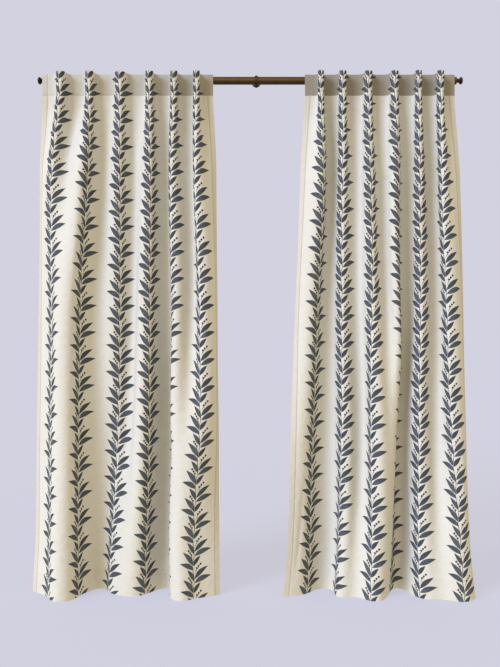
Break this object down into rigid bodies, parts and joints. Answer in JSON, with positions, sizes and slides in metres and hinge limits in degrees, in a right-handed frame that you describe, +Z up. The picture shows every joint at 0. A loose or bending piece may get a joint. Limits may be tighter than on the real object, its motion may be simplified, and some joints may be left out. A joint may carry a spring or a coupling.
{
  "type": "pair of curtains on a rod",
  "caption": "Pair of floor-length back-tab curtains with a climbing leaf print, drawn apart on a round metal rod with small finials and wall brackets.",
  "frame": {"origin": "centre of the back face of the centre bracket's wall plate, 20 mm above the rod's axis", "axes": "+X to the right along the rod, +Y into the wall, +Z up; the room is on the -Y side"},
  "size_m": [2.0799, 0.2493, 2.461],
  "materials": {
    "cloth": "matt linen-look cloth, cream, with slate-blue printed climbing leaves",
    "facing": "plain matt cloth, cream",
    "bronze": "antique bronze, satin",
    "dark_bronze": "oil-rubbed bronze, satin"
  },
  "bodies": {
    "root": {"panel_left": "cloth", "panel_right": "cloth", "facing_left": "facing", "facing_right": "facing", "tab_left_1": "facing", "tab_left_2": "facing", "tab_left_3": "facing", "tab_left_4": "facing", "tab_left_5": "facing", "tab_left_6": "facing", "tab_left_7": "facing", "tab_right_1": "facing", "tab_right_2": "facing", "tab_right_3": "facing", "tab_right_4": "facing", "tab_right_5": "facing", "tab_right_6": "facing", "tab_right_7": "facing", "rod": "bronze", "finial_left": "dark_bronze", "finial_right": "dark_bronze", "bracket_left": "bronze", "bracket_centre": "bronze", "bracket_right": "bronze", "screw_left": "dark_bronze", "screw_centre": "dark_bronze", "screw_right": "dark_bronze"}
  },
  "joints": []
}
